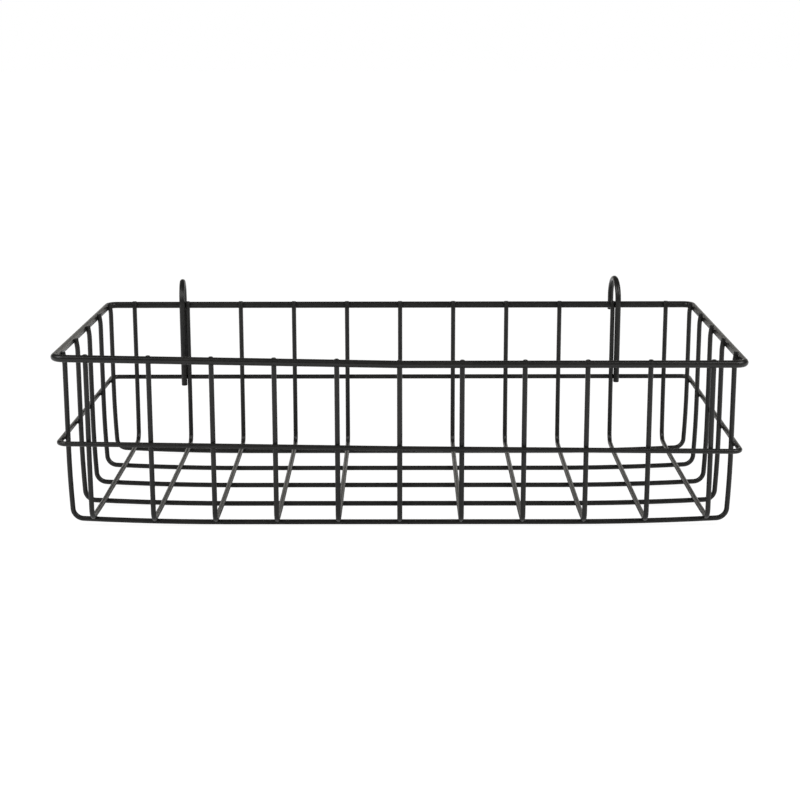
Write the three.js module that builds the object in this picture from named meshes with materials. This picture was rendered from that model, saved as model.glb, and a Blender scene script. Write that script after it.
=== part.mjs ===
// A wire basket that hangs on a wall rack: bent steel wires, welded where they cross and coated black.
// Millimetres, +Z up. X runs along the basket, the front faces -Y and the wall is behind it at +Y.
// The origin is the middle of the floor, on the surface that the basket stands on.
import * as THREE from "three";

const { degToRad } = THREE.MathUtils;
const QUARTER_TURN = Math.PI / 2;

// Overall size, over the rim wire; heights are to a wire's centre
const basketWidth = 401.8;
const basketDepth = 203;
const rimHeight = 101.2;
const bandHeight = 51.2;

// Coated wire sizes across the flats of the section, and the clearance left where two wires are welded
const rimWire = 4.4;
const meshWire = 3;
const hookWire = 3.9;
const weldGap = 0.1;
const hookWeldGap = 0.3;
const hookSideGap = 0.15;

// The mesh: cross wires run front to back, long wires run side to side below them
const crossWireCount = 11;
const crossWireInset = 14.2;
const longWireCount = 5;
const longWireInset = 12.4;
const crossFrontTipAboveRim = -0.3;
const crossBackTipAboveRim = 0.8;
const longTipAboveRim = 2;

// Bends: each tight bend opens again by the springback on both sides, which bows the leg and the floor
const bendRadius = 6.5;
const springback = degToRad(3);
const legBowRadius = 725;
const longFloorRadius = 1640;
const crossFloorRadius = 765;
const rimCornerRadius = 6;
const bandCornerRadius = 5;

// The rim and the band are welded on out of level: how far their front corners stand above the rest
const rimLeftLift = 3.6;
const rimRightLift = 0;
const bandLeftLift = 3;
const bandRightLift = -1.8;

// Hooks: the long leg is welded inside the back wall, the short leg drops behind the rim.
// Each stands beside the cross wire that is this many from the middle one.
const wiresToHookCount = 4;
const hookSpan = 27;
const hookCrownAboveRim = 16.3;
const hookLegBelowBand = 5.3;
const hookTipBelowRim = 9.2;
const hookToe = degToRad(4.3);
const leftHookLift = 0;
const rightHookLift = 2.1;

// Facets: sides of a wire's section, and steps along its bends
const meshSides = 8;
const hookSides = 12;
const bendSteps = 5;
const bowSteps = 2;
const crownSteps = 11;
const cornerSteps = 6;

// Where the wires run: the rim outside, the legs against it, the band against the legs
const rimHalfWidth = (basketWidth - rimWire) / 2;
const rimHalfDepth = (basketDepth - rimWire) / 2;
const rimToLeg = (rimWire + meshWire) / 2 + weldGap;
const legHalfWidth = rimHalfWidth - rimToLeg;
const legHalfDepth = rimHalfDepth - rimToLeg;
const wireOverWire = meshWire + weldGap;
const rimTop = rimHeight + rimWire / 2;
const crossWireReach = legHalfWidth - crossWireInset;
const longWireReach = legHalfDepth - longWireInset;

const coatedSteel = new THREE.MeshStandardMaterial({ color: 0x2a2a28, roughness: 0.45, metalness: 0 });

// A wire's centre line, drawn flat as a wire bender makes it: straight runs and round turns.
// The section stands at the marked stations only, so a straight run costs no more than its two ends.
class WireLine extends THREE.Curve {
  constructor(x, y, heading) {
    super();
    this.place = new THREE.Vector3(x, y, 0);
    this.heading = heading;
    this.stations = [];
    this.mark();
  }

  mark() {
    const tangent = new THREE.Vector3(Math.cos(this.heading), Math.sin(this.heading), 0);
    this.stations.push({ point: this.place.clone(), tangent });
  }

  run(length) {
    this.place.x += length * Math.cos(this.heading);
    this.place.y += length * Math.sin(this.heading);
    this.mark();
    return this;
  }

  // A positive angle turns to the left
  turn(angle, radius, steps) {
    const side = Math.sign(angle) * radius;
    const middleX = this.place.x - side * Math.sin(this.heading);
    const middleY = this.place.y + side * Math.cos(this.heading);
    for (let step = 0; step < steps; step += 1) {
      this.heading += angle / steps;
      this.place.x = middleX + side * Math.sin(this.heading);
      this.place.y = middleY - side * Math.cos(this.heading);
      this.mark();
    }
    return this;
  }

  stationAt(share) {
    return this.stations[Math.round(share * (this.stations.length - 1))];
  }

  getPointAt(share, target = new THREE.Vector3()) {
    return target.copy(this.stationAt(share).point);
  }

  getTangentAt(share, target = new THREE.Vector3()) {
    return target.copy(this.stationAt(share).tangent);
  }
}

// A many-sided section that holds the round wire, with flats along and across the plane of the bends
function openWire(line, diameter, sides) {
  const halfFacet = Math.PI / sides;
  const cornerRadius = diameter / 2 / Math.cos(halfFacet);
  const corners = [];
  for (let side = 0; side < sides; side += 1) {
    const angle = halfFacet + side * 2 * halfFacet;
    corners.push(new THREE.Vector2(cornerRadius * Math.cos(angle), cornerRadius * Math.sin(angle)));
  }
  const steps = line.stations.length - 1;
  return new THREE.ExtrudeGeometry(new THREE.Shape(corners), { steps, extrudePath: line });
}

// How far a loop of wire is lifted where it passes a point, from the lifts of its two front corners
function loopLift(x, y, leftLift, rightLift) {
  const frontShare = 0.5 - y / (2 * legHalfDepth);
  const sideShare = Math.abs(x) / legHalfWidth;
  return frontShare * sideShare * (x < 0 ? leftLift : rightLift);
}

// A wire bent to a rectangle, its ends butted together at the back and its front corners lifted
function loopWire(halfWidth, halfDepth, cornerRadius, diameter, leftLift, rightLift) {
  const halfRun = halfWidth - cornerRadius;
  const sideRun = 2 * (halfDepth - cornerRadius);
  const buttedRun = halfRun - weldGap / 2;
  const line = new WireLine(-weldGap / 2, halfDepth, 2 * QUARTER_TURN);
  line.run(buttedRun);
  line.turn(QUARTER_TURN, cornerRadius, cornerSteps);
  line.run(sideRun);
  line.turn(QUARTER_TURN, cornerRadius, cornerSteps);
  line.run(halfRun);
  line.run(halfRun);
  line.turn(QUARTER_TURN, cornerRadius, cornerSteps);
  line.run(sideRun);
  line.turn(QUARTER_TURN, cornerRadius, cornerSteps);
  line.run(buttedRun);
  const geometry = openWire(line, diameter, meshSides);
  const points = geometry.attributes.position;
  for (let index = 0; index < points.count; index += 1) {
    const lift = loopLift(points.getX(index), points.getY(index), leftLift, rightLift);
    points.setZ(index, points.getZ(index) + lift);
  }
  return geometry;
}

// Half of a floor's flat run: what is left of the reach inside one leg, its bend and its two bows
function flatHalf(reach, floorRadius) {
  const bend = bendRadius * (Math.cos(springback) - Math.sin(springback));
  const legBow = legBowRadius * (1 - Math.cos(springback));
  const floorBow = floorRadius * Math.sin(springback);
  return reach - bend - legBow - floorBow;
}

// How far a bowed floor has lifted at a distance from its middle
function floorLift(distance, reach, floorRadius) {
  const past = Math.max(0, Math.abs(distance) - flatHalf(reach, floorRadius));
  return floorRadius - Math.sqrt(floorRadius ** 2 - past ** 2);
}

// A wire of the mesh: down one wall, across the floor and up the other wall
function meshWireShape(reach, floorRadius, floorHeight, firstTip, lastTip) {
  const tightBend = QUARTER_TURN - 2 * springback;
  const floorBowTop = floorHeight + floorRadius * (1 - Math.cos(springback));
  const bendTop = floorBowTop + bendRadius * (Math.cos(springback) - Math.sin(springback));
  const legBowTop = bendTop + legBowRadius * Math.sin(springback);
  const line = new WireLine(-reach, firstTip, -QUARTER_TURN);
  line.run(firstTip - legBowTop);
  line.turn(springback, legBowRadius, bowSteps);
  line.turn(tightBend, bendRadius, bendSteps);
  line.turn(springback, floorRadius, bowSteps);
  line.run(2 * flatHalf(reach, floorRadius));
  line.turn(springback, floorRadius, bowSteps);
  line.turn(tightBend, bendRadius, bendSteps);
  line.turn(springback, legBowRadius, bowSteps);
  line.run(lastTip - legBowTop);
  return openWire(line, meshWire, meshSides);
}

const basket = new THREE.Group();
basket.name = "wall_rack_basket";

function place(name, geometry) {
  const mesh = new THREE.Mesh(geometry, coatedSteel);
  mesh.name = name;
  basket.add(mesh);
  return mesh;
}

// Wires drawn flat are stood up: along X for the long wires, along Y for the cross wires and hooks
function standAlongX(mesh) {
  mesh.rotation.set(QUARTER_TURN, 0, 0);
}

function standAlongY(mesh, toe = 0) {
  mesh.rotation.set(QUARTER_TURN, 0, QUARTER_TURN + toe, "ZYX");
}

// Top rim: the thick wire round the mouth
const topRim = place("top_rim", loopWire(
  rimHalfWidth, rimHalfDepth, rimCornerRadius, rimWire, rimLeftLift, rimRightLift,
));
topRim.position.z = rimHeight;

// Middle band: a thin wire round the outside of all the legs, halfway down
const middleBand = place("middle_band", loopWire(
  legHalfWidth + wireOverWire, legHalfDepth + wireOverWire, bandCornerRadius, meshWire,
  bandLeftLift, bandRightLift,
));
middleBand.position.z = bandHeight;

// Long wires: the lower layer of the floor and the two end walls
for (let index = 0; index < longWireCount; index += 1) {
  const y = longWireReach * (2 * index / (longWireCount - 1) - 1);
  const floorHeight = meshWire / 2 + floorLift(y, legHalfDepth, crossFloorRadius);
  const tip = rimTop + longTipAboveRim;
  const shape = meshWireShape(legHalfWidth, longFloorRadius, floorHeight, tip, tip);
  const mesh = place(`long_wire_${index + 1}`, shape);
  standAlongX(mesh);
  mesh.position.y = y;
}

// Cross wires: laid over the long wires, they make the upper layer of the floor, the front and the back
const crossWireX = [];
for (let index = 0; index < crossWireCount; index += 1) {
  const x = crossWireReach * (2 * index / (crossWireCount - 1) - 1);
  const lift = floorLift(x, legHalfWidth, longFloorRadius);
  const floorHeight = meshWire / 2 + wireOverWire + lift;
  const rimLift = loopLift(x, -legHalfDepth, rimLeftLift, rimRightLift);
  const frontTip = rimTop + rimLift + crossFrontTipAboveRim;
  const backTip = rimTop + crossBackTipAboveRim;
  const number = String(index + 1).padStart(2, "0");
  const shape = meshWireShape(legHalfDepth, crossFloorRadius, floorHeight, frontTip, backTip);
  const mesh = place(`cross_wire_${number}`, shape);
  standAlongY(mesh);
  mesh.position.x = x;
  crossWireX.push(x);
}

// Hooks: one towards each end, turned a little about the long leg and welded on at its own height
function hookShape() {
  const crownRadius = hookSpan / 2;
  const legBottom = bandHeight - hookLegBelowBand;
  const crownStart = rimHeight + hookCrownAboveRim - hookWire / 2 - crownRadius;
  const tip = rimHeight - hookTipBelowRim;
  const line = new WireLine(0, legBottom, QUARTER_TURN);
  line.run(crownStart - legBottom);
  line.turn(-2 * QUARTER_TURN, crownRadius, crownSteps);
  line.run(crownStart - tip);
  return openWire(line, hookWire, hookSides);
}

const hookY = rimHalfDepth - (rimWire + hookWire) / 2 - hookWeldGap;
const besideWire = (meshWire + hookWire) / 2 + hookSideGap;
const middleWire = (crossWireCount - 1) / 2;

const hookLeft = place("hook_left", hookShape());
standAlongY(hookLeft, hookToe);
hookLeft.position.set(crossWireX[middleWire - wiresToHookCount] - besideWire, hookY, leftHookLift);

const hookRight = place("hook_right", hookShape());
standAlongY(hookRight, hookToe);
hookRight.position.set(crossWireX[middleWire + wiresToHookCount] + besideWire, hookY, rightHookLift);

export default basket;
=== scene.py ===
# A black wire basket for a wall rack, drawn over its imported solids.
# Metres, Z up: the basket is long in X, its front faces -Y and its hooks are at the back.
import math

import bmesh
import bpy
from mathutils import Matrix, Vector


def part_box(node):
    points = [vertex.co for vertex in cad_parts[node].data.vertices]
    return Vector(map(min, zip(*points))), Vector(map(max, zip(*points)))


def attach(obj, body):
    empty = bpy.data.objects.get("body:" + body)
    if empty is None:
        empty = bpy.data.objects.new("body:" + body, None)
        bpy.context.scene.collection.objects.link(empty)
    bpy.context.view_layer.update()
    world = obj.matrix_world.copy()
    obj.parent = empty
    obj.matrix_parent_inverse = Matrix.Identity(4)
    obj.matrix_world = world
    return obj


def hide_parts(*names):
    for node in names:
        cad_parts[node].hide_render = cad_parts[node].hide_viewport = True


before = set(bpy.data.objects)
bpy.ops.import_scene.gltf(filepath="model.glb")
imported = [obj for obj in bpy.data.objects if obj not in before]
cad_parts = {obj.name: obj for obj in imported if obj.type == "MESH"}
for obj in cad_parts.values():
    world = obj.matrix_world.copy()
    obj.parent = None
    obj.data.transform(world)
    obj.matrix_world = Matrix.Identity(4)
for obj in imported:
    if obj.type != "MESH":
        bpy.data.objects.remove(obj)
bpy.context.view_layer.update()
scene = bpy.context.scene
scene.view_settings.view_transform = "Standard"

# Long wires: five thin steel wires bent to a wide U, the lower layer of the floor and the two end walls.
# Each comes off the bender a little open, so its legs and the ends of its floor run are bowed.
# The tips were pressed out against the rim for welding, and the powder coat has rounded their cut ends.
mm = 0.001
long_wire_count = 5
thin_wire = 3 * mm
wire_sides = 20
bend_radius = 6.5 * mm
bend_steps = 12
springback = math.radians(3)
bend_reach = bend_radius * (math.cos(springback) - math.sin(springback))
leg_bow_radius = 725 * mm
leg_bow_steps = 4
long_floor_radius = 1640 * mm
floor_bow_steps = 6
tip_lean = math.radians(8)
tip_bend_radius = 30 * mm
tip_bend_steps = 4
tip_run = 4.2 * mm
tip_rounding = 0.5 * mm
tip_rounding_steps = 3
merge_distance = 0.01 * mm


def linear(hex_colour):
    """An sRGB hex colour as the linear colour that a shader takes."""
    channels = [int(hex_colour[at : at + 2], 16) / 255 for at in (1, 3, 5)]
    return [c / 12.92 if c <= 0.04045 else ((c + 0.055) / 1.055) ** 2.4 for c in channels] + [1]


def add_node(tree, kind, settings=(), links=()):
    """Adds a node, sets its own settings or its sockets' values, and links its inputs to other outputs."""
    node = tree.nodes.new(kind)
    for name, value in dict(settings).items():
        if isinstance(name, str) and hasattr(node, name):
            setattr(node, name, value)
        else:
            node.inputs[name].default_value = value
    for name, output in dict(links).items():
        tree.links.new(output, node.inputs[name])
    return node


# Satin black powder coat: an epoxy powder sprayed on bare steel and baked until it flows.
# It dries to a soft sheen with a faint orange peel, and is a shade thinner and browner here and there.
# Real orange peel is under 1 mm across; it is drawn at 1.6 mm so that it shows at all.
full_coat = "#161615"
thin_coat = "#201f1d"
full_coat_level = 0.35
thin_coat_level = 0.68
thin_patch = 30 * mm
peel_size = 1.6 * mm
peel_depth = 0.05 * mm
powder_coat = bpy.data.materials.new("satin_black_powder_coat")
powder_coat.use_nodes = True
coat_tree = powder_coat.node_tree
coat_tree.nodes.clear()
coat_place = add_node(coat_tree, "ShaderNodeTexCoord").outputs["Object"]
coat_film = add_node(
    coat_tree,
    "ShaderNodeTexNoise",
    {"Scale": 1 / thin_patch, "Detail": 3, "Roughness": 0.55},
    {"Vector": coat_place},
)
coat_colour = add_node(coat_tree, "ShaderNodeValToRGB", links={"Fac": coat_film.outputs["Fac"]})
coat_colour.color_ramp.elements[0].position = full_coat_level
coat_colour.color_ramp.elements[0].color = linear(full_coat)
coat_colour.color_ramp.elements[1].position = thin_coat_level
coat_colour.color_ramp.elements[1].color = linear(thin_coat)
coat_peel = add_node(
    coat_tree,
    "ShaderNodeTexNoise",
    {"Scale": 1 / peel_size, "Detail": 2, "Roughness": 0.5},
    {"Vector": coat_place},
)
coat_sheen = add_node(
    coat_tree,
    "ShaderNodeMapRange",
    {"From Min": 0.3, "From Max": 0.7, "To Min": 0.3, "To Max": 0.4},
    {"Value": coat_peel.outputs["Fac"]},
)
coat_bump = add_node(
    coat_tree,
    "ShaderNodeBump",
    {"Strength": 0.35, "Distance": peel_depth},
    {"Height": coat_peel.outputs["Fac"]},
)
coat_shader = add_node(
    coat_tree,
    "ShaderNodeBsdfPrincipled",
    {"IOR": 1.5, "Specular IOR Level": 0.37},
    {
        "Base Color": coat_colour.outputs["Color"],
        "Roughness": coat_sheen.outputs["Result"],
        "Normal": coat_bump.outputs["Normal"],
    },
)
add_node(coat_tree, "ShaderNodeOutputMaterial", links={"Surface": coat_shader.outputs["BSDF"]})


def bend_wire(diameter, start, heading, moves):
    """Bends a round wire in the XZ plane, as a wire bender does, and returns it with both ends still open.
    A move is a length to run straight, or an angle, a radius and a number of steps to turn left by."""
    bm = bmesh.new()
    across = Matrix.Translation(start) @ Matrix.Rotation(math.pi / 2 - heading, 4, "Y")
    bmesh.ops.create_circle(bm, segments=wire_sides, radius=diameter / 2, matrix=across)
    ring = list(bm.edges)
    place = Vector(start)
    for move in moves:
        along = Vector((math.cos(heading), 0, math.sin(heading)))
        if isinstance(move, tuple):
            angle, radius, steps = move
            to_middle = math.copysign(radius, angle)
            middle = place + Vector((-along.z, 0, along.x)) * to_middle
            corners = list({v for edge in ring for v in edge.verts})
            turned = bmesh.ops.spin(
                bm, geom=corners + ring, cent=middle, axis=(0, -1, 0), angle=angle, steps=steps
            )
            ring = [part for part in turned["geom_last"] if isinstance(part, bmesh.types.BMEdge)]
            place = middle + Matrix.Rotation(-angle, 3, "Y") @ (place - middle)
            heading += angle
        else:
            drawn = bmesh.ops.extrude_edge_only(bm, edges=ring)["geom"]
            ring = [part for part in drawn if isinstance(part, bmesh.types.BMEdge)]
            corners = [part for part in drawn if isinstance(part, bmesh.types.BMVert)]
            bmesh.ops.translate(bm, verts=corners, vec=along * move)
            place = place + along * move
    return bm


def cut_ends(bm):
    """Closes a wire's two open ends with a flat cut whose edge is rounded."""
    open_edges = [edge for edge in bm.edges if edge.is_boundary]
    bmesh.ops.edgeloop_fill(bm, edges=open_edges)
    bmesh.ops.bevel(
        bm,
        geom=open_edges,
        offset=tip_rounding,
        offset_type="OFFSET",
        segments=tip_rounding_steps,
        profile=0.5,
        affect="EDGES",
        material=-1,
    )


def weld_to_basket(name, bm, node=None):
    """Turns a finished mesh into a coated piece of the basket, in place of its solid if it has one."""
    bmesh.ops.remove_doubles(bm, verts=bm.verts, dist=merge_distance)
    bmesh.ops.recalc_face_normals(bm, faces=bm.faces)
    for face in bm.faces:
        face.smooth = True
    mesh = bpy.data.meshes.new(name)
    bm.to_mesh(mesh)
    bm.free()
    mesh.materials.append(powder_coat)
    piece = bpy.data.objects.new(name, mesh)
    scene.collection.objects.link(piece)
    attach(piece, "root")
    if node:
        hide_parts(node)


def flat_half(reach, floor_radius):
    """Half of a floor's flat run: what is left of the reach inside one leg, its bend and its two bows."""
    leg_bow = leg_bow_radius * (1 - math.cos(springback))
    return reach - bend_reach - leg_bow - floor_radius * math.sin(springback)


def bend_u_wire(reach, floor_radius, floor_height, first_tip, last_tip):
    """A wire of the mesh in the XZ plane: down one wall, across the floor and up the other wall.
    Both tips lean out, because they were pressed against the rim when they were welded to it."""
    tight_bend = math.pi / 2 - 2 * springback
    bow_rise = floor_radius * (1 - math.cos(springback)) + leg_bow_radius * math.sin(springback)
    leg_foot = floor_height + bend_reach + bow_rise
    bends = [
        (springback, leg_bow_radius, leg_bow_steps),
        (tight_bend, bend_radius, bend_steps),
        (springback, floor_radius, floor_bow_steps),
    ]
    floor = 2 * flat_half(reach, floor_radius)
    lean = [tip_run, (-tip_lean, tip_bend_radius, tip_bend_steps)]
    lean_out = tip_run * math.sin(tip_lean) + tip_bend_radius * (1 - math.cos(tip_lean))
    lean_foot = leg_foot + tip_run * math.cos(tip_lean) + tip_bend_radius * math.sin(tip_lean)
    first_leg = [*lean, first_tip - lean_foot]
    last_leg = [last_tip - lean_foot, *reversed(lean)]
    moves = [*first_leg, *bends, floor, *reversed(bends), *last_leg]
    start = (-reach - lean_out, 0, first_tip)
    bm = bend_wire(thin_wire, start, tip_lean - math.pi / 2, moves)
    cut_ends(bm)
    return bm


long_wire_y = []
for number in range(1, long_wire_count + 1):
    node = f"long_wire_{number}"
    low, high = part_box(node)
    leg_x = (high.x - low.x - thin_wire) / 2
    wire_y = (low.y + high.y) / 2
    bm = bend_u_wire(leg_x, long_floor_radius, low.z + thin_wire / 2, high.z, high.z)
    bmesh.ops.translate(bm, verts=bm.verts, vec=(0, wire_y, 0))
    weld_to_basket(f"{node}_round", bm, node)
    long_wire_y.append(wire_y)

# Cross wires: eleven more wires of the same gauge, the floor's upper layer and the front and back walls.
# Every crossing is welded, so each wire keeps the height of the bowed long wires under it.
# The front ends follow the rim, whose front left corner is welded on higher than the rest.
cross_wire_count = 11
cross_floor_radius = 765 * mm
front_tip_drop = 1.1 * mm
rim_corner_lifts = (3.6 * mm, 0)
low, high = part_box("cross_wire_06")
leg_y = (high.y - low.y - thin_wire) / 2
back_tip = high.z


def loop_lift(x, y, corner_lifts):
    """A loop's lift where it passes a point, from the lifts of its left and right front corners."""
    left_lift, right_lift = corner_lifts
    front_share = 0.5 - y / (2 * leg_y)
    side_share = abs(x) / leg_x
    return front_share * side_share * (left_lift if x < 0 else right_lift)


def turn_and_place(bm, angle, axis, place):
    """Turns a mesh about one axis of the basket and moves it to its place."""
    bmesh.ops.rotate(bm, verts=bm.verts, cent=(0, 0, 0), matrix=Matrix.Rotation(angle, 3, axis))
    bmesh.ops.translate(bm, verts=bm.verts, vec=place)


cross_wire_x = []
cross_floor_heights = []
for number in range(1, cross_wire_count + 1):
    node = f"cross_wire_{number:02d}"
    low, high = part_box(node)
    wire_x = (low.x + high.x) / 2
    floor_height = low.z + thin_wire / 2
    front_tip = back_tip - front_tip_drop + loop_lift(wire_x, -leg_y, rim_corner_lifts)
    bm = bend_u_wire(leg_y, cross_floor_radius, floor_height, front_tip, back_tip)
    turn_and_place(bm, math.pi / 2, "Z", (wire_x, 0, 0))
    weld_to_basket(f"{node}_round", bm, node)
    cross_wire_x.append(wire_x)
    cross_floor_heights.append(floor_height)

# Floor welds: resistance welds, where each cross wire was pressed hot into the long wire below it.
# The coat has flowed into the joint and left a small soft fillet all round.
weld_gap = 0.1 * mm
to_joint = (thin_wire + weld_gap) / 2
floor_bead = (1.1 * mm, 1.1 * mm, 0.7 * mm)


def floor_lift(distance, reach, floor_radius):
    """How far a bowed floor has lifted at a distance from its middle."""
    past = max(0, abs(distance) - flat_half(reach, floor_radius))
    return floor_radius - math.sqrt(floor_radius**2 - past**2)


def add_bead(bm, place, half_size):
    """Adds one soft bead to a mesh of welds."""
    shape = Matrix.Translation(place) @ Matrix.Diagonal((*half_size, 1))
    bmesh.ops.create_icosphere(bm, subdivisions=2, radius=1, matrix=shape)


bm = bmesh.new()
for wire_x, floor_height in zip(cross_wire_x, cross_floor_heights):
    for wire_y in long_wire_y:
        height = floor_height + floor_lift(wire_y, leg_y, cross_floor_radius) - to_joint
        add_bead(bm, (wire_x, wire_y, height), floor_bead)
weld_to_basket("floor_welds", bm)

# Middle band: one thin wire bent to a rectangle, butt welded to a loop and slipped over all the legs.
# It is welded to every leg halfway up the walls, a little out of level at the front.
band_corner_radius = 5 * mm
corner_steps = 10
band_height = 51.2 * mm
band_corner_lifts = (3 * mm, -1.8 * mm)
band_bead = (1.1 * mm, 0.7 * mm, 1.1 * mm)


def bend_loop(node, diameter, corner_radius, height, corner_lifts):
    """A wire bent to a rectangle with round corners in a solid's own box, and joined end to end.
    It lies at a height, apart from the lifts of its two front corners."""
    low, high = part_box(node)
    run_x = high.x - low.x - diameter - 2 * corner_radius
    run_y = high.y - low.y - diameter - 2 * corner_radius
    corner = (math.pi / 2, corner_radius, corner_steps)
    half_loop = [corner, run_y, corner]
    moves = [run_x / 2, *half_loop, run_x, *half_loop, run_x / 2]
    bm = bend_wire(diameter, (0, 0, -(run_y / 2 + corner_radius)), 0, moves)
    turn_and_place(bm, -math.pi / 2, "X", (0, 0, height))
    for vertex in bm.verts:
        vertex.co.z += loop_lift(vertex.co.x, vertex.co.y, corner_lifts)
    return bm


def bead_legs(height, corner_lifts, bead):
    """The beads between a loop and every leg that it passes.
    A bead is given by its half-sizes along the loop, through the wall and up."""
    along, through, up = bead
    bm = bmesh.new()
    for side in (-1, 1):
        wall_y = side * (leg_y + to_joint)
        for wire_x in cross_wire_x:
            bead_height = height + loop_lift(wire_x, wall_y, corner_lifts)
            add_bead(bm, (wire_x, wall_y, bead_height), (along, through, up))
        wall_x = side * (leg_x + to_joint)
        for wire_y in long_wire_y:
            bead_height = height + loop_lift(wall_x, wire_y, corner_lifts)
            add_bead(bm, (wall_x, wire_y, bead_height), (through, along, up))
    return bm


bm = bend_loop("middle_band", thin_wire, band_corner_radius, band_height, band_corner_lifts)
weld_to_basket("middle_band_round", bm, "middle_band")
weld_to_basket("band_welds", bead_legs(band_height, band_corner_lifts, band_bead))

# Top rim: a thicker wire bent to a rectangle and butt welded, the stiff frame of the mouth.
# It lies outside the legs too, which are cut off about level with its top.
rim_wire = 4.4 * mm
rim_corner_radius = 6 * mm
rim_height = 101.2 * mm
rim_bead = (1.2 * mm, 0.8 * mm, 1.3 * mm)

bm = bend_loop("top_rim", rim_wire, rim_corner_radius, rim_height, rim_corner_lifts)
weld_to_basket("top_rim_round", bm, "top_rim")
weld_to_basket("rim_welds", bead_legs(rim_height, rim_corner_lifts, rim_bead))

# Hooks: two wires bent over at the top, which drop over the rail of a rack.
# The long leg is welded to the rim and the band inside the back wall, beside the last cross wire but one.
# Both are turned a little the same way, the right one sits higher, and coat fills the left one's seam.
hook_wire = 3.9 * mm
hook_span = 27 * mm
crown_steps = 32
short_leg = 10.05 * mm
hook_turn = math.radians(4.3)
hook_rim_gap = 0.3 * mm
hook_side_gap = 0.15 * mm
hook_bead = (1.4 * mm, 0.9 * mm, 1.3 * mm)
seam_half_width = 0.55 * mm
seam_half_depth = 0.9 * mm
rim_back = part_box("top_rim")[1].y
hook_y = rim_back - rim_wire - hook_wire / 2 - hook_rim_gap
hook_bead_y = hook_y + (hook_wire + hook_rim_gap) / 2
beside_wire = (thin_wire + hook_wire) / 2 + hook_side_gap
hooks = {
    "hook_left": cross_wire_x[1] - beside_wire,
    "hook_right": cross_wire_x[-2] + beside_wire,
}

hook_beads = bmesh.new()
for name, hook_x in hooks.items():
    low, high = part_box(name)
    crown_start = high.z - (hook_wire + hook_span) / 2
    moves = [crown_start - low.z, (-math.pi, hook_span / 2, crown_steps), short_leg]
    bm = bend_wire(hook_wire, (0, 0, low.z), math.pi / 2, moves)
    cut_ends(bm)
    turn_and_place(bm, math.pi / 2 + hook_turn, "Z", (hook_x, hook_y, 0))
    weld_to_basket(f"{name}_round", bm, name)
    for height in (rim_height, band_height):
        add_bead(hook_beads, (hook_x, hook_bead_y, height), hook_bead)

seam_x = hooks["hook_left"] + (hook_wire + hook_side_gap) / 2
seam_middle = (rim_height + band_height) / 2
seam_half_length = (rim_height - band_height) / 2
seam_half_size = (seam_half_width, seam_half_depth, seam_half_length)
add_bead(hook_beads, (seam_x, hook_y, seam_middle), seam_half_size)
weld_to_basket("hook_welds", hook_beads)

# Floor: a plain white studio sweep that the basket stands on.
# The camera sees it white, apart from a small share near the basket that takes the light and its shadow.
# The coat's gloss sees it white too, but shaded where it lies under the basket.
sweep_half_size = 6
sweep_radius = 1.5
sweep_paint = "#e8e8e8"
pure_white = "#ffffff"
sweep_brightness = 1.17
shadow_share = 0.2
shadow_reach = 0.75
full_shade_reach = 0.12
shade_reach = 0.35
studio_white = bpy.data.materials.new("white_studio_sweep")
studio_white.use_nodes = True
sweep_tree = studio_white.node_tree
sweep_tree.nodes.clear()
matt_white = add_node(sweep_tree, "ShaderNodeBsdfDiffuse", {"Color": linear(sweep_paint)})
bright_white = add_node(
    sweep_tree,
    "ShaderNodeEmission",
    {"Color": linear(pure_white), "Strength": sweep_brightness},
)
sweep_place = add_node(
    sweep_tree,
    "ShaderNodeMapping",
    {"Scale": (1 / sweep_radius, 1 / sweep_radius, 1 / sweep_radius)},
    {"Vector": add_node(sweep_tree, "ShaderNodeTexCoord").outputs["Object"]},
)
near_basket = add_node(
    sweep_tree,
    "ShaderNodeTexGradient",
    {"gradient_type": "SPHERICAL"},
    {"Vector": sweep_place.outputs["Vector"]},
)
white_to_camera = add_node(
    sweep_tree,
    "ShaderNodeMapRange",
    {"From Max": 1 - shadow_reach / sweep_radius, "To Min": 1, "To Max": 1 - shadow_share},
    {"Value": near_basket.outputs["Fac"]},
)
white_to_gloss = add_node(
    sweep_tree,
    "ShaderNodeMapRange",
    {
        "From Min": 1 - shade_reach / sweep_radius,
        "From Max": 1 - full_shade_reach / sweep_radius,
        "To Min": 1,
        "To Max": 0,
    },
    {"Value": near_basket.outputs["Fac"]},
)
sweep_ray = add_node(sweep_tree, "ShaderNodeLightPath")
seen_by_camera = add_node(
    sweep_tree,
    "ShaderNodeMath",
    {"operation": "MULTIPLY"},
    {0: sweep_ray.outputs["Is Camera Ray"], 1: white_to_camera.outputs["Result"]},
)
sweep_share = add_node(
    sweep_tree,
    "ShaderNodeMath",
    {"operation": "MULTIPLY_ADD"},
    {
        0: sweep_ray.outputs["Is Glossy Ray"],
        1: white_to_gloss.outputs["Result"],
        2: seen_by_camera.outputs["Value"],
    },
)
sweep_mix = add_node(
    sweep_tree,
    "ShaderNodeMixShader",
    links={
        0: sweep_share.outputs["Value"],
        1: matt_white.outputs["BSDF"],
        2: bright_white.outputs["Emission"],
    },
)
add_node(sweep_tree, "ShaderNodeOutputMaterial", links={"Surface": sweep_mix.outputs["Shader"]})

bm = bmesh.new()
bmesh.ops.create_grid(bm, x_segments=1, y_segments=1, size=sweep_half_size)
sweep_mesh = bpy.data.meshes.new("studio_floor")
bm.to_mesh(sweep_mesh)
bm.free()
sweep_mesh.materials.append(studio_white)
studio_floor = bpy.data.objects.new("studio_floor", sweep_mesh)
scene.collection.objects.link(studio_floor)

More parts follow.
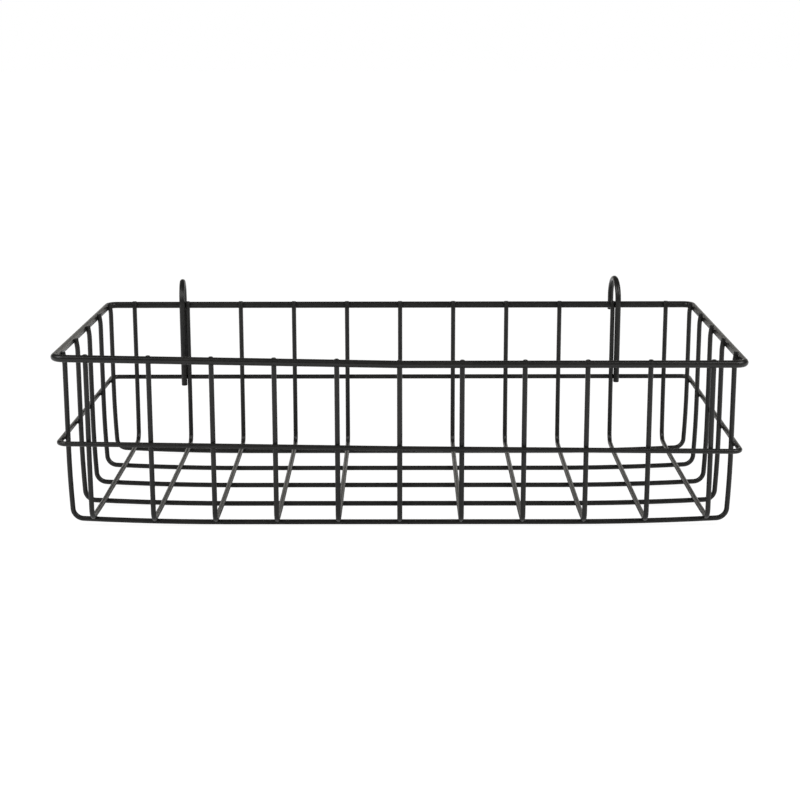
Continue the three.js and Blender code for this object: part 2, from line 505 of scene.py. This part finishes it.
# Studio light: a dim room with a white backdrop low behind the basket, and two soft boxes in front of it.
# The coat shows the backdrop where a wire runs away from the camera, and stays black elsewhere.
towards_backdrop = (0, 0.35, -1)
backdrop_edge = 0.2
backdrop_white = "#fffcf5"
room_grey = "#595959"
room_brightness = 1.15
soft_box_aside = 1.1
soft_box_front = 0.7
soft_box_height = 1.2
soft_box_size = 1
soft_box_power = 16
studio = bpy.data.worlds.new("white_studio")
scene.world = studio
studio.use_nodes = True
room_tree = studio.node_tree
room_tree.nodes.clear()
near_backdrop = add_node(
    room_tree,
    "ShaderNodeVectorMath",
    {"operation": "DOT_PRODUCT", 1: towards_backdrop},
    {0: add_node(room_tree, "ShaderNodeTexCoord").outputs["Generated"]},
)
room_share = add_node(
    room_tree,
    "ShaderNodeMapRange",
    {"From Min": 0, "From Max": backdrop_edge},
    {"Value": near_backdrop.outputs["Value"]},
)
room_walls = add_node(room_tree, "ShaderNodeValToRGB", links={"Fac": room_share.outputs["Result"]})
room_walls.color_ramp.elements[0].color = linear(room_grey)
room_walls.color_ramp.elements[1].color = linear(backdrop_white)
room_lit = add_node(
    room_tree,
    "ShaderNodeBackground",
    {"Strength": room_brightness},
    {"Color": room_walls.outputs["Color"]},
)
room_white = add_node(room_tree, "ShaderNodeBackground", {"Color": linear(pure_white), "Strength": 1})
room_mix = add_node(
    room_tree,
    "ShaderNodeMixShader",
    links={
        0: add_node(room_tree, "ShaderNodeLightPath").outputs["Is Camera Ray"],
        1: room_lit.outputs["Background"],
        2: room_white.outputs["Background"],
    },
)
add_node(room_tree, "ShaderNodeOutputWorld", links={"Surface": room_mix.outputs["Shader"]})

for name, side in (("soft_box_left", -1), ("soft_box_right", 1)):
    lamp = bpy.data.lights.new(name, "AREA")
    lamp.size = soft_box_size
    lamp.energy = soft_box_power
    soft_box = bpy.data.objects.new(name, lamp)
    soft_box_place = Vector((side * soft_box_aside, -soft_box_front, soft_box_height))
    soft_box.location = soft_box_place
    soft_box.rotation_euler = (-soft_box_place).to_track_quat("-Z", "Y").to_euler()
    scene.collection.objects.link(soft_box)

# Camera: a long lens about a metre in front of the basket, looking down a little on its front.
# It stands almost square to the front, with a very small turn and roll.
focal_length = 79.36
sensor_width = 36
camera_place = (2.3 * mm, -1088 * mm, 308.9 * mm)
look_down = math.radians(13.02)
camera_roll = math.radians(0.08)
camera_turn = math.radians(0.1)
lens = bpy.data.cameras.new("camera")
lens.sensor_width = sensor_width
lens.lens = focal_length
camera = bpy.data.objects.new("camera", lens)
camera.location = camera_place
camera.rotation_euler = (math.pi / 2 - look_down, camera_roll, camera_turn)
scene.collection.objects.link(camera)
scene.camera = camera
